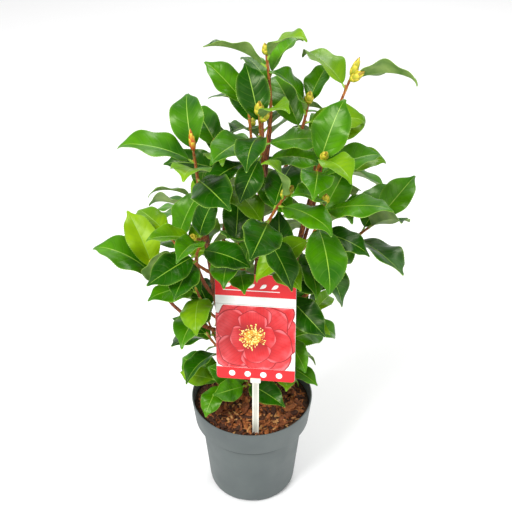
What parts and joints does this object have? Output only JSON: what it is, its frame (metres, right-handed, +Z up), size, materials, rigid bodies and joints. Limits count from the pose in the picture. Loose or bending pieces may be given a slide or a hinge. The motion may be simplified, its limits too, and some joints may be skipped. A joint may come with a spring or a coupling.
{
  "type": "potted camellia shrub",
  "caption": "Young upright evergreen shrub with glossy toothed leaves and plump flower buds, rooted in a round nursery pot, with a plant label on a stick.",
  "frame": {"origin": "centre of the pot's flat underside", "axes": "+Z up along the pot's axis, -Y towards the label's printed face, +X to the right seen from there"},
  "size_m": [0.355, 0.2897, 0.6059],
  "materials": {
    "pot_plastic": "matt blue-grey moulded plastic with a fine speckle",
    "bark_soil": "loose chipped bark and fibre",
    "label_print": "satin printed card, red with a white band",
    "white_plastic": "plain white plastic",
    "old_wood": "grey-brown bark with fine cracks and leaf scars",
    "young_wood": "smooth red-brown young bark",
    "foliage": "glossy deep green leaves with paler veins and undersides, yellow-green buds"
  },
  "bodies": {
    "root": {"pot": "pot_plastic", "soil": "bark_soil", "label_card": "label_print", "label_stick": "white_plastic", "stem_left": "old_wood", "stem_centre": "old_wood", "stem_right": "old_wood", "bough_crown": "young_wood", "bough_left_back": "young_wood", "bough_front_high": "young_wood", "bough_right_front": "young_wood", "bough_right_low": "young_wood", "bough_left_low": "young_wood", "bough_left_front": "young_wood", "bough_back_high": "young_wood", "bough_back_right": "young_wood", "bough_back_left": "young_wood", "bough_heart": "young_wood", "mass_crown_top": "foliage", "mass_crown_right": "foliage", "mass_crown_left": "foliage", "mass_crown_back": "foliage", "mass_crown_front": "foliage", "mass_crown_side": "foliage", "mass_left_back": "foliage", "mass_front_high": "foliage", "mass_right_front": "foliage", "mass_right_inner": "foliage", "mass_right_tip": "foliage", "mass_right_mid": "foliage", "mass_right_low": "foliage", "mass_right_foot": "foliage", "mass_left_tip": "foliage", "mass_left_high": "foliage", "mass_left_front": "foliage", "mass_left_mid": "foliage", "mass_left_low": "foliage", "mass_left_foot": "foliage", "mass_front_low": "foliage", "mass_pot_front": "foliage", "mass_back_high": "foliage", "mass_back_right": "foliage", "mass_back_left": "foliage", "mass_back_mid": "foliage", "mass_back_low": "foliage", "mass_back_right_low": "foliage", "mass_back_left_low": "foliage", "mass_back_foot": "foliage", "mass_left_outer": "foliage", "mass_right_outer": "foliage", "mass_heart_left": "foliage", "mass_heart_right": "foliage", "mass_right_high": "foliage", "mass_back_upper_left": "foliage", "mass_back_upper_right": "foliage", "mass_back_crown": "foliage"}
  },
  "joints": []
}
